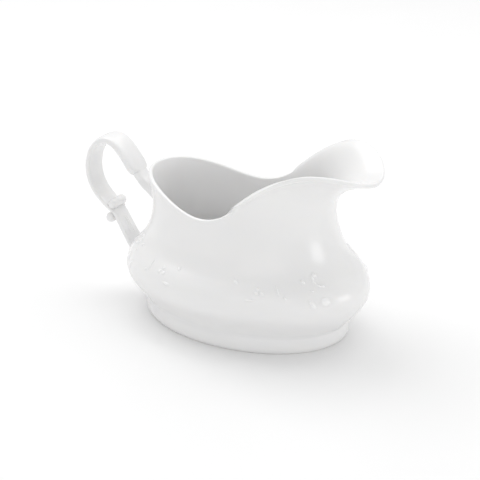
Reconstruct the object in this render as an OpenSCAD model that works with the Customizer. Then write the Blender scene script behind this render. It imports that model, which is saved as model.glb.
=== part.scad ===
// Porcelain gravy boat on an oval foot, with a flared pouring lip and a scroll handle.
// +X points to the pouring lip and +Z up. The origin is on the floor, at the middle of the
// boat's footprint box. All sizes are in millimetres.

/* [Foot] */
// Half length of the foot at its bead
foot_half_length = 66.5; // [65.5:0.5:68]
// Half width of the foot at its bead
foot_half_width = 46; // [45:0.5:47]
// Height of the foot, from the floor to the seat of the bowl
foot_height = 9.5; // [8:0.5:11]
// Thickness of the foot ring, measured inwards at the floor
foot_wall = 6.5; // [5:0.5:9]

/* [Bowl] */
// Reach of the belly's control level behind the middle of the foot
belly_back = 84; // [80:1:88]
// Reach of the belly's control level towards the lip
belly_front = 82; // [78:1:86]
// Half width of the belly's control level
belly_half_width = 57; // [54:1:60]
// Height of the belly's control level
belly_height = 26; // [24:1:28]
// Reach of the neck's control level behind the middle of the foot
neck_back = 58; // [55:1:61]
// Reach of the neck's control level towards the lip
neck_front = 50; // [47:1:53]
// Half width of the neck's control level
neck_half_width = 40; // [37:1:42]
// Height of the neck's control level
neck_height = 76.5; // [74:0.5:78]
// Wall thickness low down
wall = 3.2; // [2.8:0.1:3.6]
// Floor thickness over the foot
floor_wall = 4; // [3:0.5:5]

/* [Rim] */
// Reach of the rim behind the middle of the foot
rim_back = 64; // [61:1:66]
// Reach of the pouring lip in front of the middle of the foot
lip_reach = 85; // [80:1:88]
// Half width of the rim where it crosses the middle
rim_half_width = 42; // [39:1:44]
// Mean height of the rim
rim_height = 92.5; // [90:0.5:95]
// Thickness of the rounded edge
rim_wall = 2.6; // [2.2:0.1:3]
// Lift of the neck's control level under the lip, which flattens the lip
lip_lift = 10; // [7:0.5:11]

/* [Handle] */
// Width of the strap at its root on the bowl
root_width = 17.5; // [16:0.5:18.5]
// Width of the strap at its end between the curls
strap_width = 14.5; // [13:0.5:15.5]
// Thickness of the strap at its root
root_thickness = 6.4; // [5.6:0.2:6.8]
// Thickness of the strap at its end
strap_thickness = 2.4; // [2.2:0.1:3]
// Rise of the strap's crown over its edges
strap_crown = 0.4; // [0:0.1:0.8]
// Width of the stem that joins the strap to the bowl
stem_width = 10; // [9:0.5:12]
// Width of the lower leg
leg_width = 12; // [10:0.5:12.5]
// Thickness of the lower leg
leg_thickness = 3.8; // [3.2:0.1:4.4]
// Radius of the two curls
curl_radius = 3.7; // [3.4:0.1:3.8]
// Length of the two curls across the handle
curl_length = 14.5; // [13.5:0.5:15.5]
// Reach of the slip fillet at the rim
rim_fillet_reach = 2.5; // [1.5:0.5:3.5]
// Reach of the slip fillet at the belly
belly_fillet_reach = 1.5; // [1:0.5:2.5]

/* [Ornament] */
// Rise of the sprays and pearls over the belly
relief = 0.9; // [0.6:0.1:1.2]
// Height of the sprays on the wall, as a share of the wall's own measure
spray_level = 0.52; // [0.48:0.01:0.54]

/* [Hidden] */

// The strap reaches this far behind the middle of the foot, once the bulge of the lip in front
// is taken off.
handle_reach = 113;
// Moves the middle of the foot so that the origin lies under the middle of the whole boat.
foot_x = (handle_reach - lip_reach) / 2;

// Control levels of the wall, from the seat on the foot up to the rim. Each holds its reach back,
// its reach forward, its half width, its height, its share of the rim's rise and fall, its share
// of the lip's plan shape, and its lift under the lip. The wall is the smooth curve that these
// levels pull on.
LEVELS = [
    [foot_half_length - 1.2, foot_half_length - 1.2, foot_half_width - 1.2, foot_height, 0, 0, 0],
    [foot_half_length + 6.5, foot_half_length + 3.5, foot_half_width - 2.5, foot_height + 5, 0, 0, 0],
    [belly_back, belly_front, belly_half_width, belly_height, 0, 0, 0],
    [belly_back - 10, belly_front - 6, belly_half_width - 4, belly_height + 17.5, 0, 0, 0],
    [neck_back + 7, neck_front + 8, neck_half_width + 2, neck_height - 26.5, 0.2, 0.4, -3],
    [neck_back, neck_front, neck_half_width, neck_height, 1, 1, lip_lift],
    [rim_back, lip_reach, rim_half_width, rim_height, 1, 1, -1]
];
// Rise and fall of the rim: the share of one, two, three, four and five waves round it.
RIM_WAVES = [13.5, 8, -6, -4.5, -0.5];
// Plan shape of the lip: second and third harmonics, along and across.
LIP_ALONG = [3, 4];
LIP_ACROSS = [2.5, 3.5];

// Mesh density round the boat, up its wall, over its edge and across its floor.
around = 72;
wall_rows = 26;
edge_rows = 4;
floor_rows = 5;
// The inside wall runs down to here, in the wall's own measure, and rounds into the floor.
floor_start = 0.12;
// Sharpness of the turn from wall to floor.
floor_turn = 8;
// Small step for slopes, along the wall and in degrees round it.
step = 0.004;
turn = 1;

// Middle line of the upper scroll in the XZ plane, from inside the wall over the top to the curls.
STRAP_LINE = [
    [-61.5, 69], [-70, 73], [-75.5, 78.5], [-93, 106], [-112, 91], [-112, 66], [-100, 57],
    [-93.5, 52.5]
];
// Middle line of the lower leg, from between the curls to inside the wall of the belly.
LEG_LINE = [[-94.5, 53], [-92.5, 51], [-89.5, 46], [-86.5, 41], [-83, 35], [-77, 27]];
// Middles of the curls.
INNER_CURL = [-94.3, 57];
OUTER_CURL = [-96.2, 47.6];
// Share of the strap's line where the stem ends and the wide strap begins.
shoulder = 0.19;
// Share of the strap's line over which the shoulders round out.
shoulder_turn = 0.05;
// Shares of the strap's line where its stem leaves the wall and where the fillet on it ends.
stem_root = 0.075;
stem_fillet = 0.12;
// Shares of the leg's line where the fillet on it begins and where the leg enters the wall.
leg_fillet = 0.7;
leg_root = 0.78;
// Rough heights on the wall of the stem and the leg, in the wall's own measure.
stem_level = 0.8;
leg_level = 0.4;
// Radius of the raised line on the leg, and the share of the leg's line where it begins.
ridge_radius = 1.1;
ridge_from = 0.28;
// Number of sections along the strap and the leg, and of points round a section.
strap_rows = 44;
stem_rows = 6;
leg_rows = 14;
section_points = 20;
// Angles of the scroll sprays and of the florets on the right side, each with its direction:
// 1 when it turns to the lip and -1 when it turns to the handle.
SCROLLS = [[328, 1], [212, -1]];
FLORETS = [[298, 1], [246, -1]];

// ---- Curves ----

// Knot i of a clamped cubic curve with n control points.
function knot(n, i) = min(max((i - 3) / (n - 3), 0), 1);
// How far t lies between knot i and the one d further on.
function along(n, i, d, t) =
    let(span = knot(n, i + d) - knot(n, i)) span > 0 ? (t - knot(n, i)) / span : 0;
// Share of control point i in the curve at t, at degree d.
function share(n, i, d, t) =
    d == 0
    ? (knot(n, i) <= t && t < knot(n, i + 1) ? 1 : 0)
    : along(n, i, d, t) * share(n, i, d - 1, t)
      + (knot(n, i + d + 1) > knot(n, i + 1) ? 1 - along(n, i + 1, d, t) : 0)
      * share(n, i + 1, d - 1, t);
function shares(n, t) = [for (i = [0:n - 1]) share(n, i, 3, min(max(t, 0), 0.99999))];
function curve(controls, t) = shares(len(controls), t) * controls;
function unit(v) = v / norm(v);
function mix(a, b, f) = a + (b - a) * f;

// ---- The wall of the bowl ----

// Rise of the rim over its mean height at angle a.
function rim_rise(a) = RIM_WAVES * [for (k = [1:5]) cos(k * a)];
function lip_along(a) = LIP_ALONG * [cos(2 * a) - 1, cos(3 * a) - cos(a)];
function lip_across(a) = LIP_ACROSS * [sin(2 * a), sin(3 * a) + sin(a)];
// Control points of the wall at angle a, 0 at the lip and 180 at the handle.
function pulls(a) = [
    for (level = LEVELS) [
        foot_x + (level[1] - level[0]) / 2 + (level[1] + level[0]) / 2 * cos(a)
            + level[5] * lip_along(a),
        level[2] * sin(a) + level[5] * lip_across(a),
        level[3] + level[4] * rim_rise(a) + level[6] * pow((1 + cos(a)) / 2, 3)
    ]
];
function outside(a, t) = shares(len(LEVELS), t) * pulls(a);
function upward(a, t) = unit(outside(a, min(t, 1 - step) + step) - outside(a, min(t, 1 - step)));
function sideways(a, t) = unit(outside(a + turn, t) - outside(a - turn, t));
function outward(a, t) = unit(cross(sideways(a, t), upward(a, t)));
function thickness(t) = mix(wall, rim_wall, t);
function inside(a, t) = outside(a, t) - thickness(t) * outward(a, t);

angles = [for (j = [0:around - 1]) 360 * j / around];
// The edge's round sits this far below the end of the wall's curve, and the wall stops short of
// the end by as much.
edge_drop = rim_wall / 4;
edge_t = 0.985;
function edge_point(a, f) =
    let(n = outward(a, 1), u = upward(a, 1))
    outside(a, 1) - edge_drop * u - rim_wall / 2 * n + rim_wall / 2 * (cos(f) * n + sin(f) * u);
function floor_point(a, s) =
    let(p = inside(a, floor_start), base = foot_height + floor_wall)
    [mix(foot_x, p.x, s), p.y * s, base + (p.z - base) * pow(s, floor_turn)];

wall_rings = [for (i = [0:wall_rows]) [for (a = angles) outside(a, edge_t * i / wall_rows)]];
edge_rings = [for (i = [0:edge_rows]) [for (a = angles) edge_point(a, 180 * i / edge_rows)]];
inner_rings = [
    for (i = [1:wall_rows - 3])
        [for (a = angles) inside(a, mix(edge_t, floor_start, i / (wall_rows - 3)))]
];
floor_rings = [for (i = [1:floor_rows]) [for (a = angles) floor_point(a, 1 - 0.16 * i)]];

// ---- Solids from rings of points ----

function side_faces(rows, count, wraps) = [
    for (i = [0:rows - (wraps ? 1 : 2)], j = [0:count - 1])
        let(k = (j + 1) % count, here = i * count, next = (i + 1) % rows * count)
        each [[here + j, next + j, next + k], [here + j, next + k, here + k]]
];

// Solid through rings of points, closed by its first and last ring.
module loft(rings) {
    count = len(rings[0]);
    last = (len(rings) - 1) * count;
    polyhedron(
        [for (ring = rings) each ring],
        concat(
            [[for (j = [0:count - 1]) j]],
            side_faces(len(rings), count, false),
            [[for (j = [count - 1:-1:0]) last + j]]
        )
    );
}

// Ring-shaped solid: the last ring of points meets the first again.
module hoop(rings) {
    polyhedron([for (ring = rings) each ring], side_faces(len(rings), len(rings[0]), true));
}

// The first child less the others, kept as one mesh.
module carve() {
    resize([0, 0, 0]) difference() {
        children(0);
        children([1:$children - 1]);
    }
}

// The bowl with its inside filled, for trimming what stands on it.
module filled_bowl() {
    top = [for (a = angles) [foot_x + 2 * cos(a), 2 * sin(a), rim_height]];
    loft(concat(wall_rings, [top]));
}

// ---- Handle sections ----

// Rounded rectangle of points across a line in the XZ plane. w and h are its width and height,
// rise is how far its outer face bulges, shift moves it along the outward direction, and
// corner sets its corners: 0.5 is a rounded rectangle and 1 an ellipse.
function section(line, t, w, h, rise = 0, shift = 0, corner = 0.5) =
    let(
        p = curve(line, t),
        d = unit(curve(line, min(t + step, 1)) - curve(line, max(t - step, 0))),
        out = [d.y, -d.x]
    )
    [
        for (j = [0:section_points - 1])
            let(
                c = cos(360 * j / section_points),
                s = sin(360 * j / section_points),
                y = sign(s) * pow(abs(s), corner),
                r = sign(c) * pow(abs(c), corner) * h / 2 + (c > 0 ? rise * (1 - y * y) : 0) + shift
            )
            [foot_x + p.x + out.x * r, y * w / 2, p.y + out.y * r]
    ];
// Width of the strap at t, rounding out from the stem to the shoulders.
function strap_width_at(t) =
    let(f = min(max((t - shoulder) / shoulder_turn, 0), 1))
    mix(stem_width, mix(root_width, strap_width, t), sqrt(1 - pow(1 - f, 2)));
function leg_width_at(t) = leg_width + 1.5 * pow(t, 2);
function strap_section(t) =
    section(STRAP_LINE, t, strap_width_at(t), mix(root_thickness, strap_thickness, t), strap_crown);
function leg_section(t) = section(LEG_LINE, t, leg_width_at(t), leg_thickness);
// Direction of a line in the XZ plane at t, as a 3D vector.
function heading(line, t) =
    let(d = unit(curve(line, t + step) - curve(line, t - step))) [d.x, 0, d.y];

// Where the line through p along d, a direction in the XZ plane, meets the wall. The search
// starts at angle a and height t.
function land(p, d, t, a = 180, tries = 6) =
    tries == 0
    ? outside(a, t)
    : let(
        across = cross(d, [0, 1, 0]),
        miss = outside(a, t) - p,
        by_a = (outside(a + turn, t) - outside(a - turn, t)) / (2 * turn),
        by_t = (outside(a, t + step) - outside(a, t - step)) / (2 * step),
        det = by_a.y * (by_t * across) - by_t.y * (by_a * across)
    )
    land(
        p, d,
        t - (by_a.y * (miss * across) - miss.y * (by_a * across)) / det,
        a - (miss.y * (by_t * across) - by_t.y * (miss * across)) / det,
        tries - 1
    );
function landed(ring, d, t) = [for (p = ring) land(p, d, t)];
// A ring on the wall, spread by reach round the ring that is already there.
function spread(ring, reach, t) =
    let(
        total = [for (i = [0:2]) [for (p = ring) 1] * [for (p = ring) p[i]]],
        centre = total / len(ring),
        n = outward(180, t)
    )
    [for (p = ring) land(p + reach * unit(p - centre), n, t)];
// Rings of a concave fillet from the ring at its edge on the wall to the ring on the handle.
function fillet_rings(wall_edge, corner, handle_edge) = [
    for (f = [0:0.25:1])
        [
            for (j = [0:section_points - 1])
                mix(mix(wall_edge[j], corner[j], f), mix(corner[j], handle_edge[j], f), f)
        ]
];

// ---- Sub-parts ----

module bowl() {
    color("white") loft(concat(wall_rings, edge_rings, inner_rings, floor_rings));
}

// Oval bead that tucks in to the floor below and to the bowl's seat above.
module foot_ring() {
    bead = foot_height * 0.4;
    profile = concat(
        [for (f = [0, 0.2, 0.45, 0.7, 1]) [1.5 * pow(1 - f, 2), bead * f]],
        [for (f = [0.25, 0.5, 0.75, 1]) [0.8 * f * f, mix(bead, foot_height, f)]],
        [[foot_wall + 2.5, foot_height], [foot_wall + 1.2, foot_height / 2], [foot_wall, 0]]
    );
    color("whitesmoke") hoop([
        for (p = profile) [
            for (a = angles) [
                foot_x + (foot_half_length - p.x) * cos(a),
                (foot_half_width - p.x) * sin(a),
                p.y
            ]
        ]
    ]);
}

module handle_strap() {
    color("white") carve() {
        loft([for (i = [0:strap_rows]) strap_section(mix(shoulder, 1, i / strap_rows))]);
        curl(INNER_CURL);
    }
}

stem_landing = landed(strap_section(stem_root), heading(STRAP_LINE, stem_root), stem_level);

module handle_stem() {
    color("white") loft(concat(
        [stem_landing],
        [for (i = [0:stem_rows]) strap_section(mix(stem_root, shoulder, i / stem_rows))]
    ));
}

// Roll across the handle with round ends.
module curl(middle) {
    half = curl_length / 2;
    translate([foot_x + middle.x, 0, middle.y])
        rotate([90, 0, 0])
            rotate_extrude($fn = 24)
                intersection() {
                    union() {
                        for (side = [-1, 1])
                            translate([0, side * (half - curl_radius)]) circle(curl_radius, $fn = 24);
                        translate([0, curl_radius - half])
                            square([curl_radius * 0.9, 2 * (half - curl_radius)]);
                    }
                    translate([0, -half]) square([curl_radius, 2 * half]);
                }
}

module inner_curl() {
    color("white") curl(INNER_CURL);
}

module outer_curl() {
    color("white") curl(OUTER_CURL);
}

leg_landing = landed(leg_section(leg_root), heading(LEG_LINE, leg_root), leg_level);

module lower_leg() {
    color("white") carve() {
        loft(concat(
            [for (i = [0:leg_rows]) leg_section(mix(0, leg_root, i / leg_rows))],
            [leg_landing]
        ));
        curl(INNER_CURL);
        curl(OUTER_CURL);
    }
}

// Half-round bead that lies along the leg's inner face and tapers out at both ends.
module leg_ridge() {
    function radius_at(f) = ridge_radius * (0.3 + 0.7 * sqrt(sin(180 * f)));
    function ridge_section(t, radius) =
        let(p = curve(LEG_LINE, t), d = heading(LEG_LINE, t), inner = -leg_thickness / 2)
        [
            for (f = [0:20:180])
                let(r = inner - radius * sin(f))
                [foot_x + p.x + d.z * r, -radius * cos(f), p.y - d.x * r]
        ];
    color("whitesmoke") loft([
        for (i = [0:leg_rows])
            let(f = i / leg_rows)
            ridge_section(mix(ridge_from, leg_fillet, f), radius_at(f))
    ]);
}

module rim_fillet() {
    edge = spread(stem_landing, rim_fillet_reach, stem_level);
    color("whitesmoke") hoop(concat(
        fillet_rings(edge, stem_landing, strap_section(stem_fillet)),
        [stem_landing]
    ));
}

module belly_fillet() {
    edge = spread(leg_landing, belly_fillet_reach, leg_level);
    rings = fillet_rings(edge, leg_landing, leg_section(leg_fillet));
    color("whitesmoke") hoop(concat([for (i = [len(rings) - 1:-1:0]) rings[i]], [leg_landing]));
}

// Puts its children on the wall at angle a and height t, their Z pointing out of it.
module on_wall(a, t) {
    p = outside(a, t);
    x = sideways(a, t);
    z = outward(a, t);
    y = cross(z, x);
    multmatrix([[x.x, y.x, z.x, p.x], [x.y, y.y, z.y, p.y], [x.z, y.z, z.z, p.z], [0, 0, 0, 1]])
        children();
}

// Puts its children x round the wall and y up it from the middle of the spray at angle a.
module near_spray(a, x, y) {
    round_span = norm(outside(a + turn, spray_level) - outside(a - turn, spray_level));
    up_span = norm(outside(a, spray_level + step) - outside(a, spray_level - step));
    on_wall(a + 2 * turn * x / round_span, spray_level + 2 * step * y / up_span) children();
}

// Leaf and pearl at x and y from the middle of the spray at place, an angle and a direction.
module leaf(place, x, y, length, width, angle) {
    near_spray(place[0], place[1] * x, y)
        rotate(place[1] > 0 ? angle : 180 - angle)
            scale([length / 2, width / 2, relief]) sphere(1, $fn = 8);
}

module pearl(place, x, y, radius) {
    near_spray(place[0], place[1] * x, y) scale([radius, radius, relief]) sphere(1, $fn = 8);
}

// C-shaped scroll of short leaves, and one leaf under it.
module scroll_leaves(place) {
    for (f = [95:45:275])
        leaf(place, 5.4 + 3.2 * cos(f), 5.4 + 3.2 * sin(f), 3.4, 1.8, f + 90);
    leaf(place, -5.4, -8.5, 6, 2.6, -60);
}

module floret_leaves(place) {
    leaf(place, -6, -5.4, 5.5, 1.4, 0);
    leaf(place, 12, 0.6, 7.5, 1.2, 80);
}

module scroll_pearls(place) {
    pearl(place, 2.4, -7.5, 2.6);
    pearl(place, -4.2, 6, 1.3);
    pearl(place, -2.4, 0, 0.9);
}

module floret_pearls(place) {
    for (f = [90:120:330])
        pearl(place, 0.6 + 1.9 * cos(f), 1.9 * sin(f), 1.3);
    pearl(place, -11, 5.4, 1.5);
    pearl(place, 14.5, -3.5, 1);
}

// Puts its children on the right side of the boat and again, mirrored, on the left.
module both_sides() {
    children();
    mirror([0, 1, 0]) children();
}

module belly_sprays() {
    color("white") carve() {
        both_sides() {
            for (place = SCROLLS)
                scroll_leaves(place);
            for (place = FLORETS)
                floret_leaves(place);
        }
        filled_bowl();
    }
}

module belly_pearls() {
    color("whitesmoke") carve() {
        both_sides() {
            for (place = SCROLLS)
                scroll_pearls(place);
            for (place = FLORETS)
                floret_pearls(place);
        }
        filled_bowl();
    }
}

bowl();
foot_ring();
handle_strap();
handle_stem();
inner_curl();
outer_curl();
lower_leg();
leg_ridge();
rim_fillet();
belly_fillet();
belly_sprays();
belly_pearls();
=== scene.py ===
"""Gravy boat in glazed white porcelain: a bowl with a pouring lip, an oval foot and a scroll handle."""
import math

import bpy
import numpy as np
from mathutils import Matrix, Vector


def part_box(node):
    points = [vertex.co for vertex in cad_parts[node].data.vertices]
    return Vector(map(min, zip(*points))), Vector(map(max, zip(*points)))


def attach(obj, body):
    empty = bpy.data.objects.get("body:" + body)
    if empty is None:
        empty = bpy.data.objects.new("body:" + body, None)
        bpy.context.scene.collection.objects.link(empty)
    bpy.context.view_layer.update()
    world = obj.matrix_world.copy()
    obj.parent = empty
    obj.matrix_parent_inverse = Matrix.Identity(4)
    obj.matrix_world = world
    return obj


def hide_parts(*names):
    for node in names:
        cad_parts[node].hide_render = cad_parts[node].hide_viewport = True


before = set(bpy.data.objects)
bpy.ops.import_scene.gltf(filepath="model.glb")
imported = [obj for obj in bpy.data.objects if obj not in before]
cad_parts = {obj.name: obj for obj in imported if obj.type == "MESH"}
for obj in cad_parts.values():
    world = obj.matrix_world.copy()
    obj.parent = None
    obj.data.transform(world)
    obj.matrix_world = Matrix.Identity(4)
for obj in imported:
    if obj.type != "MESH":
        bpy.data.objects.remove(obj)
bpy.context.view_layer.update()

MM = 0.001
TAU = 2 * math.pi


def node_box(node):
    """Lowest and highest corners of a CAD node, in millimetres."""
    low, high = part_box(node)
    return np.array(low) / MM, np.array(high) / MM


# ---- Sizes, in millimetres ----

foot_low, foot_high = node_box("foot_ring")

# The foot's middle, half sizes and height, as the frame has them.
FOOT_X = (foot_low[0] + foot_high[0]) / 2
FOOT_HALF_LENGTH = (foot_high[0] - foot_low[0]) / 2
FOOT_HALF_WIDTH = (foot_high[1] - foot_low[1]) / 2
SEAT = foot_high[2]
FOOT_WALL = 6.5
# How far the foot's outer face draws in at its standing edge and at its top, and the share of its
# height where it is widest.
FOOT_EDGE_INSET = 1.5
FOOT_TOP_INSET = 0.8
FOOT_WIDEST = 0.4

# Control levels of the wall, from the seat on the foot up to the rim. Each holds its reach back,
# its reach forward, its half width, its height, its share of the rim's rise and fall, its share
# of the lip's plan shape, and its lift under the lip. The wall is the smooth surface that these
# levels pull on.
LEVELS = np.array([
    [65.3, 65.3, 44.8, SEAT, 0, 0, 0],
    [73, 70, 43.5, SEAT + 5, 0, 0, 0],
    [84, 82, 57, 26, 0, 0, 0],
    [74, 76, 53, 43.5, 0, 0, 0],
    [65, 58, 42, 50, 0.2, 0.4, -3],
    [58, 50, 40, 76.5, 1, 1, 10],
    [64, 85, 42, 92.5, 1, 1, -1],
])
# Rise and fall of the rim: the share of one, two, three, four and five waves round it.
RIM_WAVES = [13.5, 8, -6, -4.5, -0.5]
# Plan shape of the lip: second and third harmonics, along and across.
LIP_ALONG = [3, 4]
LIP_ACROSS = [2.5, 3.5]

# Thickness of the wall at the foot and at the rim, and the height of the floor of the well.
WALL = 3.2
RIM_WALL = 2.6
FLOOR = SEAT + 4
# Shares of the wall's height where the floor of the well begins to turn in and where the rim begins
# to round over.
WELL_START = 0.12
RIM_START = 0.985
# How far pieces that lie on the wall stand off it, so that they never share a surface.
STAND_OFF = 0.02

# Widths and thicknesses of the strap at its root and at its end.
STRAP_WIDTHS = (17.5, 14.5)
STRAP_THICKNESSES = (6.4, 2.4)
STRAP_CROWN = 0.3
STEM_WIDTH = 10
# The leg widens by this much towards the wall.
LEG_FLARE = 1.5
LEG_WIDTH = 12
LEG_THICKNESS = 3.8
RIDGE_WIDTH = 3.6
RIDGE_HEIGHT = 1.0
CURL_RADIUS = 3.7
CURL_LENGTH = 14.5

# Middle lines in the XZ plane, from the middle of the foot, and the middles of the curls.
STRAP_LINE = np.array([
    [-61.5, 69], [-70, 73], [-75.5, 78.5], [-93, 106], [-112, 91], [-112, 66], [-100, 57], [-93.5, 52.5]
])
LEG_LINE = np.array([[-94.5, 53], [-92.5, 51], [-89.5, 46], [-86.5, 41], [-83, 35], [-77, 27]])
INNER_CURL = (-94.3, 57)
OUTER_CURL = (-96.2, 47.6)

# Shares of the strap's line: where the stem leaves the wall, where its fillet ends, where the
# shoulders start and how long they take to round out.
STEM_ROOT = 0.075
STEM_FILLET = 0.13
SHOULDER = 0.19
SHOULDER_TURN = 0.05
# Shares of the leg's line: where its fillet begins and where it enters the wall.
LEG_FILLET = 0.68
LEG_ROOT = 0.78
# Share of the leg's line where its ridge starts.
RIDGE_START = 0.28
# Rough heights of the two joints on the wall, in the wall's own measure, and the spread of slip.
STEM_LEVEL = 0.8
LEG_LEVEL = 0.4
STEM_SLIP = 2.5
LEG_SLIP = 1.5

# Points round the boat.
AROUND = 480
angles = np.arange(AROUND) * TAU / AROUND


# ---- Curves and the wall ----

def shares(count, t):
    """Weights of the control points of a clamped cubic curve at each t, one row for each."""
    t = np.clip(np.ravel(t), 0, 1 - 1e-9)[:, None]
    knots = np.clip((np.arange(count + 4) - 3) / (count - 3), 0, 1)
    weights = ((knots[:-1] <= t) & (t < knots[1:])).astype(float)
    for degree in (1, 2, 3):
        left = knots[:-degree]
        span = knots[degree:] - left
        rise = np.where(span > 0, (t - left) / np.where(span > 0, span, 1), 0)
        fall = np.where(span > 0, 1 - rise, 0)
        weights = rise[:, :-1] * weights[:, :-1] + fall[:, 1:] * weights[:, 1:]
    return weights


def curve(controls, t):
    """Points of a clamped cubic curve."""
    return shares(len(controls), t) @ controls


def unit(v):
    """Directions of the vectors in v."""
    return v / np.linalg.norm(v, axis=-1, keepdims=True)


def mix(a, b, f):
    """The value a share f of the way from a to b."""
    return a + (b - a) * f


def harmonics(amounts, terms):
    """Sum of the terms, each times its amount."""
    return sum(amount * term for amount, term in zip(amounts, terms))


def wall(a, t):
    """Points of the bowl's outside at angles a (0 at the lip, pi at the handle) and heights t."""
    a, t = np.broadcast_arrays(np.asarray(a, float), np.asarray(t, float))
    shape = (-1,) + (1,) * a.ndim
    back, front, half, height, rises, shapes, lifts = (column.reshape(shape) for column in LEVELS.T)
    rise = harmonics(RIM_WAVES, [np.cos(k * a) for k in range(1, 6)])
    along = harmonics(LIP_ALONG, [np.cos(2 * a) - 1, np.cos(3 * a) - np.cos(a)])
    across = harmonics(LIP_ACROSS, [np.sin(2 * a), np.sin(3 * a) + np.sin(a)])
    pulls = (
        FOOT_X + (front - back) / 2 + (front + back) / 2 * np.cos(a) + shapes * along,
        half * np.sin(a) + shapes * across,
        height + rises * rise + lifts * ((1 + np.cos(a)) / 2) ** 3,
    )
    weights = shares(len(LEVELS), t).T.reshape((-1,) + t.shape)
    return np.stack([(weights * pull).sum(0) for pull in pulls], -1)


def wall_axes(a, t):
    """Directions round the wall, up it and out of it."""
    step, turn = 0.002, 0.01
    t = np.clip(t, step, 1 - step)
    across = unit(wall(a + turn, t) - wall(a - turn, t))
    up = unit(wall(a, t + step) - wall(a, t - step))
    out = unit(np.cross(across, up))
    return across, up, out


def inside(a, t):
    """Points of the bowl's inside."""
    thickness = mix(WALL, RIM_WALL, t)
    return wall(a, t) - np.asarray(thickness)[..., None] * wall_axes(a, t)[2]


# ---- Meshes ----

def mesh_piece(name, points, faces, node, material):
    """A mesh object, in metres from points in millimetres, that stands for a CAD node."""
    mesh = bpy.data.meshes.new(name)
    mesh.from_pydata((np.asarray(points, float) * MM).tolist(), [], faces)
    mesh.update()
    mesh.polygons.foreach_set("use_smooth", [True] * len(mesh.polygons))
    # Edges that are buried in a neighbour stay sharp, so they don't bend the shading beside them.
    mesh.set_sharp_from_angle(angle=math.radians(50))
    mesh.materials.append(material)
    piece = bpy.data.objects.new(name, mesh)
    bpy.context.scene.collection.objects.link(piece)
    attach(piece, "root")
    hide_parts(node)
    return piece


def side_faces(rows, count, wraps=False, start=0):
    """Quads between rings of points."""
    i, j = np.meshgrid(np.arange(rows if wraps else rows - 1), np.arange(count), indexing="ij")
    here, above = i * count, (i + 1) % rows * count
    after = (j + 1) % count
    quads = np.stack([here + j, here + after, above + after, above + j], -1).reshape(-1, 4)
    return (quads + start).tolist()


def loft(rings):
    """Points and faces through rings, each end closed by a fan round its middle."""
    rings = np.asarray(rings)
    rows, count = rings.shape[:2]
    points = np.vstack([rings.reshape(-1, 3), rings[0].mean(0), rings[-1].mean(0)])
    last = (rows - 1) * count
    faces = side_faces(rows, count)
    for j in range(count):
        after = (j + 1) % count
        faces.append((len(points) - 2, after, j))
        faces.append((len(points) - 1, last + j, last + after))
    return points, faces


def hoop(rings):
    """Points and faces of a ring-shaped solid, whose last ring meets the first again."""
    rings = np.asarray(rings)
    return rings.reshape(-1, 3), side_faces(*rings.shape[:2], wraps=True)


def arc(start, corner, end, steps):
    """Rings along a curve that leaves start and reaches end in the directions of corner."""
    return [
        mix(mix(start, corner, f), mix(corner, end, f), f) for f in np.linspace(0, 1, steps + 1)
    ]


# ---- Materials ----

def node(tree, kind, **sockets):
    """A shader node with the given socket values."""
    made = tree.nodes.new(kind)
    for name, value in sockets.items():
        made.inputs[name.replace("_", " ")].default_value = value
    return made


def ramp(tree, factor, stops):
    """A colour ramp over (position, grey or colour) stops."""
    made = tree.nodes.new("ShaderNodeValToRGB")
    elements = made.color_ramp.elements
    while len(elements) < len(stops):
        elements.new(0.5)
    for element, (position, colour) in zip(elements, stops):
        element.position = position
        element.color = colour if isinstance(colour, tuple) else (colour, colour, colour, 1)
    tree.links.new(factor, made.inputs["Fac"])
    return made.outputs["Color"]


def relief_height(tree):
    """How high the relief stands, from 0 at its edge to 1 at its top."""
    made = tree.nodes.new("ShaderNodeAttribute")
    made.attribute_name = "height"
    return made.outputs["Fac"]


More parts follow.
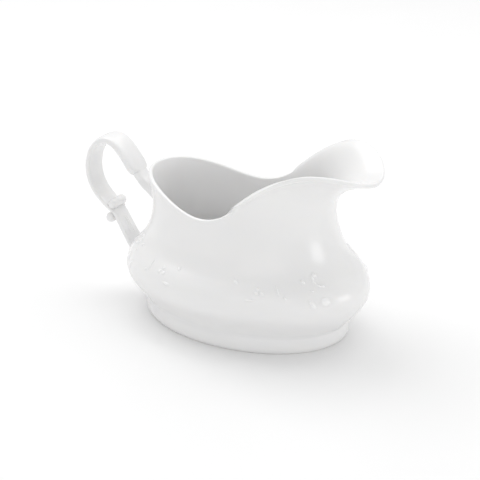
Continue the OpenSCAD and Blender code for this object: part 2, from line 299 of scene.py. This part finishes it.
def porcelain(name, body, glazed=True, relief_highlight=False):
    """White porcelain. Glazed, it is glossy with a faint ripple and tiny specks; bare, it is a
    matt, fine-grained biscuit. It is painted a little darker where the surface curves inward,
    as painted shade. For the relief, it is painted lighter the higher it stands: a painted highlight."""
    material = bpy.data.materials.new(name)
    material.use_nodes = True
    tree = material.node_tree
    shader = tree.nodes["Principled BSDF"]
    place = tree.nodes.new("ShaderNodeTexCoord").outputs["Object"]
    geometry = tree.nodes.new("ShaderNodeNewGeometry")

    def noise(scale, detail, roughness=0.5):
        made = node(tree, "ShaderNodeTexNoise", Scale=scale, Detail=detail, Roughness=roughness)
        tree.links.new(place, made.inputs["Vector"])
        return made.outputs["Fac"]

    def blend(a, b):
        """Product of two colours, by the numbers of the node's colour sockets."""
        made = tree.nodes.new("ShaderNodeMix")
        made.data_type = "RGBA"
        made.blend_type = "MULTIPLY"
        made.inputs["Factor"].default_value = 1.0
        tree.links.new(a, made.inputs[6])
        tree.links.new(b, made.inputs[7])
        return made.outputs[2]

    # The body's colour wanders very little over centimetres.
    warm = tuple(c * k for c, k in zip(body, (1.0, 0.997, 0.994))) + (1,)
    cool = tuple(c * k for c, k in zip(body, (0.99, 0.988, 0.988))) + (1,)
    colour = ramp(tree, noise(28, 3), [(0.35, warm), (0.65, cool)])
    # Painted shade: the colour is a little darker where the surface curves inward, in creases and dips.
    painted_hollow_shade = ramp(tree, geometry.outputs["Pointiness"], [(0.45, 0.97), (0.5, 0.995), (0.54, 1.0)])
    colour = blend(colour, painted_hollow_shade)
    # Painted highlight: the relief is painted lighter the higher it stands.
    if relief_highlight:
        colour = blend(colour, ramp(tree, relief_height(tree), [(0.0, 1.0), (0.6, 1.08)]))
    # Sparse pin specks under the glaze.
    cells = node(tree, "ShaderNodeTexVoronoi", Scale=520)
    tree.links.new(place, cells.inputs["Vector"])
    specks = ramp(tree, cells.outputs["Distance"], [(0.0, 0.8), (0.045, 0.93), (0.06, 1.0)])
    colour = blend(colour, specks)
    tree.links.new(colour, shader.inputs["Base Color"])

    if glazed:
        gloss = ramp(tree, noise(60, 4), [(0.3, 0.2), (0.7, 0.26)])
        ripple, ripple_height = noise(140, 2), 0.00002
        grain, grain_height = noise(1400, 3), 0.000003
        shader.inputs["IOR"].default_value = 1.52
        shader.inputs["Coat Weight"].default_value = 0.1
        shader.inputs["Coat Roughness"].default_value = 0.12
    else:
        gloss = ramp(tree, noise(900, 4), [(0.3, 0.55), (0.7, 0.75)])
        ripple, ripple_height = noise(500, 3), 0.00002
        grain, grain_height = noise(4000, 4), 0.00002
    tree.links.new(gloss, shader.inputs["Roughness"])
    shader.inputs["Subsurface Weight"].default_value = 0.08
    shader.inputs["Subsurface Radius"].default_value = (0.0025, 0.0023, 0.002)
    shader.inputs["Subsurface Scale"].default_value = 1.0

    normal = None
    for height, distance in ((ripple, ripple_height), (grain, grain_height)):
        bump = node(tree, "ShaderNodeBump", Strength=0.6, Distance=distance)
        tree.links.new(height, bump.inputs["Height"])
        if normal is not None:
            tree.links.new(normal, bump.inputs["Normal"])
        normal = bump.outputs["Normal"]
    tree.links.new(normal, shader.inputs["Normal"])
    return material


WHITE = (0.87, 0.87, 0.87)
BARE = (0.74, 0.73, 0.71)
glaze = porcelain("white_glaze", WHITE)
# This material carries a painted highlight, lighter the higher the relief stands.
relief_glaze_painted_highlight = porcelain("relief_glaze_painted_highlight", WHITE, relief_highlight=True)
biscuit = porcelain("bare_biscuit", BARE, glazed=False)


# ---- The bowl ----

def shrunk(ring, s, height):
    """A ring drawn in towards the bowl's axis by the factor s, and put at a height."""
    shrunk_ring = ring * [s, s, 0] + [FOOT_X * (1 - s), 0, 0]
    shrunk_ring[:, 2] += height
    return shrunk_ring


def bowl():
    """The shell: its underside, outside, rounded rim, inside and the floor of its well."""
    outside = [wall(angles, t) for t in np.linspace(0, RIM_START, 150)]
    # The wall stops short of its curve's end, where the rim's round takes over.
    up, out = wall_axes(angles, 1.0)[1:]
    radius = RIM_WALL / 2
    middle = wall(angles, 1.0) - radius / 2 * up - radius * out
    rim = [middle + radius * (math.cos(f) * out + math.sin(f) * up) for f in np.linspace(0, math.pi, 15)]
    well = [inside(angles, t) for t in np.linspace(RIM_START, WELL_START, 120)[1:]]
    # The floor levels out from the edge that the inside leaves.
    edge = well[-1]
    floor = [
        shrunk(edge, s, FLOOR + (edge[:, 2] - FLOOR) * s ** 8) for s in np.linspace(1, 0.02, 40)[1:]
    ]
    # The underside is a shallow dome inside the foot.
    under = [
        shrunk(outside[0], s, SEAT + 0.5 * (1 - s * s)) for s in np.linspace(0.02, 1, 12)[:-1]
    ]
    points, faces = loft(under + outside + rim + well + floor)
    mesh_piece("bowl_shell", points, faces, "bowl", glaze)


# ---- The foot ----

def foot_oval(inset, z):
    """Ring at height z, inset from the foot's widest outline."""
    return np.stack([
        FOOT_X + (FOOT_HALF_LENGTH - inset) * np.cos(angles),
        (FOOT_HALF_WIDTH - inset) * np.sin(angles),
        np.full(AROUND, z),
    ], -1)


def foot():
    """The oval ring that the boat stands on, with a rounded outer face."""
    widest = SEAT * FOOT_WIDEST
    outer = [foot_oval(FOOT_EDGE_INSET * (1 - f) ** 2.2, widest * f) for f in np.linspace(0, 1, 14)]
    outer += [
        foot_oval(FOOT_TOP_INSET * f * f, mix(widest, SEAT - 0.5, f))
        for f in np.linspace(0, 1, 12)[1:]
    ]
    # A small hollow of glaze runs out onto the wall of the bowl.
    cove_level = 0.025
    cove_end = wall(angles, cove_level) + STAND_OFF * wall_axes(angles, cove_level)[2]
    crease = mix(foot_oval(0.9, SEAT), wall(angles, 0.0), 0.5)
    cove = arc(outer[-1], crease, cove_end, 8)[1:]
    # Inside the bowl's wall, the surface crosses over to the underside.
    buried = mix(cove_end, foot_oval(FOOT_WALL + 2, SEAT + 0.2), 0.5)
    # The inside face is drafted, with a hollow into the underside.
    hollow_foot = SEAT - 3
    hollow = arc(
        foot_oval(FOOT_WALL + 5, SEAT + 0.1),
        foot_oval(FOOT_WALL + 2.2, SEAT),
        foot_oval(FOOT_WALL + 1.4, hollow_foot),
        8,
    )
    inner = [
        foot_oval(mix(FOOT_WALL + 1.4, FOOT_WALL + 0.5, f), mix(hollow_foot, 0.7, f))
        for f in (0.35, 0.7, 1)
    ]
    standing_edge = [foot_oval(FOOT_WALL + 0.15, 0.2), foot_oval(FOOT_WALL, 0)]
    points, faces = hoop(outer + cove + [buried] + hollow + inner + standing_edge)
    piece = mesh_piece("foot_bead", points, faces, "foot_ring", glaze)
    # The face that the boat stands on is wiped clean of glaze.
    piece.data.materials.append(biscuit)
    wiped_height = 0.35
    for polygon in piece.data.polygons:
        if polygon.center.z < wiped_height * MM:
            polygon.material_index = 1


# ---- The handle ----

def heading(line, t):
    """Direction of a line in the XZ plane at a share t of it."""
    d = unit(curve(line, [min(t + 0.004, 1)]) - curve(line, [max(t - 0.004, 0)]))[0]
    return np.array([d[0], 0, d[1]])


def across_line(line, t, y, r):
    """Points y across a line in the XZ plane and r out from it, at a share t of the line."""
    p = curve(line, [t])[0]
    d = heading(line, t)
    return np.stack([FOOT_X + p[0] + d[2] * r, y, p[1] - d[0] * r], -1)


def section(line, t, width, height, rise=0.0):
    """Rounded rectangle of points across a line, its outer face crowned by rise."""
    f = np.arange(56) * TAU / 56
    c, s = np.cos(f), np.sin(f)
    y = np.sign(s) * np.abs(s) ** 0.5
    r = np.sign(c) * np.abs(c) ** 0.5 * height / 2 + np.where(c > 0, rise * (1 - y * y), 0)
    return across_line(line, t, y * width / 2, r)


def strap_section(t):
    """Section of the stem up to the shoulders, and of the strap after them."""
    f = min(max((t - SHOULDER) / SHOULDER_TURN, 0), 1)
    width = mix(STEM_WIDTH, mix(*STRAP_WIDTHS, t), math.sqrt(1 - (1 - f) ** 2))
    return section(STRAP_LINE, t, width, mix(*STRAP_THICKNESSES, t), STRAP_CROWN)


def leg_section(t):
    """Section of the leg, which flares towards the wall."""
    return section(LEG_LINE, t, LEG_WIDTH + LEG_FLARE * t * t, LEG_THICKNESS)


def land(points, d, t):
    """Where lines through the points along d, in the XZ plane, meet the wall near height t."""
    a = np.full(len(points), math.pi)
    t = np.full(len(points), float(t))
    across = np.cross(d, [0, 1, 0])
    # Newton's method on the two distances from the line.
    for _ in range(12):
        miss = wall(a, t) - points
        by_a = (wall(a + 0.01, t) - wall(a - 0.01, t)) / 0.02
        by_t = (wall(a, t + 0.002) - wall(a, t - 0.002)) / 0.004
        det = by_a[:, 1] * (by_t @ across) - by_t[:, 1] * (by_a @ across)
        a -= (miss[:, 1] * (by_t @ across) - by_t[:, 1] * (miss @ across)) / det
        t -= (by_a[:, 1] * (miss @ across) - miss[:, 1] * (by_a @ across)) / det
    return wall(a, t)


def spread(ring, reach, t):
    """A ring on the wall, reach further out all round."""
    out = wall_axes(math.pi, t)[2]
    return land(ring + reach * unit(ring - ring.mean(0)), out, t) + STAND_OFF * out


def handle():
    """Stem, strap and leg, and the slip worked round the two joints with the wall."""
    stem_landing = land(strap_section(STEM_ROOT), heading(STRAP_LINE, STEM_ROOT), STEM_LEVEL)
    rings = [stem_landing] + [strap_section(t) for t in np.linspace(STEM_ROOT, SHOULDER, 24)]
    mesh_piece("stem", *loft(rings), "handle_stem", glaze)

    # The rings lie closer together where the shoulders round out.
    f = np.linspace(0, 1, 170)
    steps = SHOULDER + (1 - SHOULDER) * np.where(f < 0.15, f * f / 0.3, f - 0.075) / 0.925
    mesh_piece("strap", *loft([strap_section(t) for t in steps]), "handle_strap", glaze)

    leg_landing = land(leg_section(LEG_ROOT), heading(LEG_LINE, LEG_ROOT), LEG_LEVEL)
    rings = [leg_section(t) for t in np.linspace(0, LEG_ROOT, 70)] + [leg_landing]
    mesh_piece("leg", *loft(rings), "lower_leg", glaze)

    edge = spread(stem_landing, STEM_SLIP, STEM_LEVEL)
    rings = arc(edge, stem_landing, strap_section(STEM_FILLET), 12) + [stem_landing]
    mesh_piece("rim_slip", *hoop(rings), "rim_fillet", glaze)

    edge = spread(leg_landing, LEG_SLIP, LEG_LEVEL)
    rings = arc(leg_section(LEG_FILLET), leg_landing, edge, 12) + [leg_landing]
    mesh_piece("belly_slip", *hoop(rings), "belly_fillet", glaze)


def curl(name, middle, node_name):
    """Roll across the handle: two round ends with a slightly narrower waist between them."""
    spin = np.arange(48) * TAU / 48
    rings = []
    for f in np.linspace(0.02, math.pi - 0.02, 40):
        y = -math.cos(f)
        waist = 1 - 0.2 * (1 - y * y) ** 3
        radius = CURL_RADIUS * math.sin(f) ** 0.5 * waist
        rings.append(np.stack([
            FOOT_X + middle[0] + radius * np.sin(spin),
            np.full(len(spin), y * CURL_LENGTH / 2),
            middle[1] + radius * np.cos(spin),
        ], -1))
    mesh_piece(name, *loft(rings), node_name, glaze)


def ridge():
    """Soft line along the leg's inner face, which starts thin and runs on into the wall."""
    buried_face = -LEG_THICKNESS / 2 + 0.1
    y = np.linspace(-1, 1, 25)
    rings = []
    for f in np.linspace(0, 1, 60):
        height = RIDGE_HEIGHT * min(1, 0.1 + 4 * f) ** 0.5
        r = buried_face - height * np.cos(math.pi / 2 * y) ** 2
        t = mix(RIDGE_START, LEG_ROOT + 0.01, f)
        rings.append(across_line(LEG_LINE, t, y * RIDGE_WIDTH / 2, r))
    mesh_piece("ridge", *loft(rings), "leg_ridge", glaze)


# ---- The relief on the belly ----

SPRAY_LEVEL = 0.52
RELIEF = 0.8
# Angles of the scroll sprays and of the florets on the right side, each with its direction:
# 1 for a spray that faces the lip and -1 for one that faces the handle.
SCROLLS = [(328, 1), (212, -1)]
FLORETS = [(298, 1), (246, -1)]


def placed(place, x, y):
    """Angle and height on the wall that are x round and y up from the middle of a spray."""
    a, t, step = math.radians(place[0]), SPRAY_LEVEL, 0.01
    round_mm = np.linalg.norm(wall(a + step, t) - wall(a - step, t)) / (2 * step)
    up_mm = np.linalg.norm(wall(a, t + step) - wall(a, t - step)) / (2 * step)
    return a + place[1] * np.asarray(x) / round_mm, t + np.asarray(y) / up_mm


class Relief:
    """Raised patches of the wall, gathered into one mesh."""

    def __init__(self):
        self.points, self.heights, self.faces, self.count = [], [], [], 0

    def patch(self, place, x, y, height):
        """Adds a patch and its mirror image. x, y and height are grids, from the middle of a
        spray; a height under 0 is buried."""
        for mirrored in (False, True):
            a, t = placed(place, x, y)
            a = -a if mirrored else a
            p = wall(a, t) + height[..., None] * wall_axes(a, t)[2]
            rows, count = p.shape[:2]
            quads = np.array(side_faces(rows, count, start=self.count)).reshape(rows - 1, count, 4)
            quads = quads[:, :-1].reshape(-1, 4)
            if mirrored == (place[1] > 0):
                quads = quads[:, ::-1]
            self.points.append(p.reshape(-1, 3))
            self.heights.append(height.reshape(-1) / RELIEF)
            self.faces += quads.tolist()
            self.count += rows * count

    def leaf(self, place, x, y, length, width, angle, height):
        """An oval whose edge melts into the wall."""
        r, f = np.meshgrid(np.linspace(0.02, 1.3, 16), np.linspace(0, TAU, 33), indexing="ij")
        along, over = r * np.cos(f) * length / 2, r * np.sin(f) * width / 2
        c, s = math.cos(math.radians(angle)), math.sin(math.radians(angle))
        h = height * np.clip(1 - (r / 1.25) ** 2, 0, 1) ** 1.7 - 0.04 * r ** 4
        self.patch(place, x + along * c - over * s, y + along * s + over * c, h)

    def pearl(self, place, x, y, width, height):
        """A round dot."""
        self.leaf(place, x, y, width, width, 0, height)

    def build(self, name, node_name):
        """Makes one piece of all the patches, which holds their heights for its material."""
        piece = mesh_piece(name, np.vstack(self.points), self.faces, node_name, relief_glaze_painted_highlight)
        heights = piece.data.attributes.new("height", "FLOAT", "POINT")
        heights.data.foreach_set("value", np.clip(np.concatenate(self.heights), 0, 1))


def ornament():
    """Scroll sprays and florets, from each spray's middle in millimetres."""
    leaves, pearls = Relief(), Relief()
    for place in SCROLLS:
        # A C-shaped scroll of short leaves.
        for degrees in range(95, 276, 45):
            f = math.radians(degrees)
            x, y = 5.4 + 3.2 * math.cos(f), 5.4 + 3.2 * math.sin(f)
            leaves.leaf(place, x, y, 3.4, 2.2, degrees + 90, RELIEF)
        leaves.leaf(place, -5.4, -8.5, 6, 2.8, -60, RELIEF)
        pearls.pearl(place, 2.4, -7.5, 5.4, RELIEF * 1.2)
        pearls.pearl(place, -4.2, 6, 2.6, RELIEF)
        pearls.pearl(place, -2.4, 0, 1.8, RELIEF * 0.7)
    for place in FLORETS:
        leaves.leaf(place, -6, -5.4, 5.5, 1.5, 0, RELIEF * 0.7)
        leaves.leaf(place, 12, 0.6, 7.5, 1.3, 80, RELIEF * 0.7)
        # Three petals round the floret's middle.
        for degrees in range(90, 331, 120):
            f = math.radians(degrees)
            pearls.pearl(place, 0.6 + 1.9 * math.cos(f), 1.9 * math.sin(f), 2.6, RELIEF * 0.8)
        pearls.pearl(place, -11, 5.4, 3, RELIEF)
        pearls.pearl(place, 14.5, -3.5, 2, RELIEF * 0.8)
    leaves.build("sprays", "belly_sprays")
    pearls.build("pearls", "belly_pearls")


bowl()
foot()
handle()
curl("curl_in", INNER_CURL, "inner_curl")
curl("curl_out", OUTER_CURL, "outer_curl")
ridge()
ornament()


# ---- Stage, light and camera ----

def flat_material(name, grey, roughness):
    """A matt grey with a faint, wide grain."""
    material = bpy.data.materials.new(name)
    material.use_nodes = True
    tree = material.node_tree
    shader = tree.nodes["Principled BSDF"]
    place = tree.nodes.new("ShaderNodeTexCoord").outputs["Object"]
    grain = node(tree, "ShaderNodeTexNoise", Scale=8.0, Detail=4.0)
    tree.links.new(place, grain.inputs["Vector"])
    colour = ramp(tree, grain.outputs["Fac"], [(0.3, grey), (0.7, grey * 0.99)])
    tree.links.new(colour, shader.inputs["Base Color"])
    shader.inputs["Roughness"].default_value = roughness
    return material


def stage():
    """A pale, plain floor."""
    half = 4.0
    corners = [(-half, -half, 0), (half, -half, 0), (half, half, 0), (-half, half, 0)]
    mesh = bpy.data.meshes.new("table_top")
    mesh.from_pydata(corners, [], [(0, 1, 2, 3)])
    mesh.materials.append(flat_material("table_white", 0.9, 0.6))
    floor = bpy.data.objects.new("table_top", mesh)
    bpy.context.scene.collection.objects.link(floor)


def toward(azimuth, elevation):
    """Direction of an azimuth, turned from the front to the right, and an elevation."""
    a, e = math.radians(azimuth), math.radians(elevation)
    return Vector((math.sin(a) * math.cos(e), -math.cos(a) * math.cos(e), math.sin(e)))


def aim(thing, place, target):
    """Puts a light or camera at a place and points it at a target."""
    thing.location = place
    thing.rotation_euler = (target - place).to_track_quat("-Z", "Y").to_euler()


LIGHT_DISTANCE = 1.6


def softbox(name, azimuth, elevation, width, height, power):
    """A rectangular soft light that faces the boat's middle."""
    data = bpy.data.lights.new(name, "AREA")
    data.shape = "RECTANGLE"
    data.size, data.size_y = width, height
    data.energy = power
    light = bpy.data.objects.new(name, data)
    bpy.context.scene.collection.objects.link(light)
    target = Vector((0, 0, 0.05))
    aim(light, target + LIGHT_DISTANCE * toward(azimuth, elevation), target)


def lights():
    """A pale studio all round, and four soft boxes."""
    world = bpy.data.worlds.new("studio")
    world.use_nodes = True
    background = world.node_tree.nodes["Background"]
    background.inputs["Color"].default_value = (1, 1, 1, 1)
    background.inputs["Strength"].default_value = 0.69
    bpy.context.scene.world = world
    softbox("back_left_light", -105, 62, 1.2, 1.2, 9.5)
    softbox("back_right_light", 165, 62, 1.2, 1.2, 5.5)
    softbox("right_light", 100, 8, 0.6, 0.45, 2.6)
    softbox("front_light", 15, 12, 1.4, 0.8, 2.2)


# The camera looks at this point from this angle, elevation and distance, at this scale.
CAMERA_TARGET = (FOOT_X - 4.56, 0, 49.75)
CAMERA_AZIMUTH = 30.0
CAMERA_ELEVATION = 23.3
CAMERA_DISTANCE = 800
SENSOR = 36.0
# The frame's width at the target, in millimetres.
FRAME_WIDTH = 290.2


def camera():
    """A camera with a long lens, and plain view settings."""
    data = bpy.data.cameras.new("camera")
    data.sensor_width = SENSOR
    data.lens = SENSOR * CAMERA_DISTANCE / FRAME_WIDTH
    data.clip_start = 0.01
    eye = bpy.data.objects.new("camera", data)
    bpy.context.scene.collection.objects.link(eye)
    target = Vector(CAMERA_TARGET) * MM
    aim(eye, target + CAMERA_DISTANCE * MM * toward(CAMERA_AZIMUTH, CAMERA_ELEVATION), target)
    bpy.context.scene.camera = eye
    bpy.context.scene.view_settings.view_transform = "Standard"


stage()
lights()
camera()
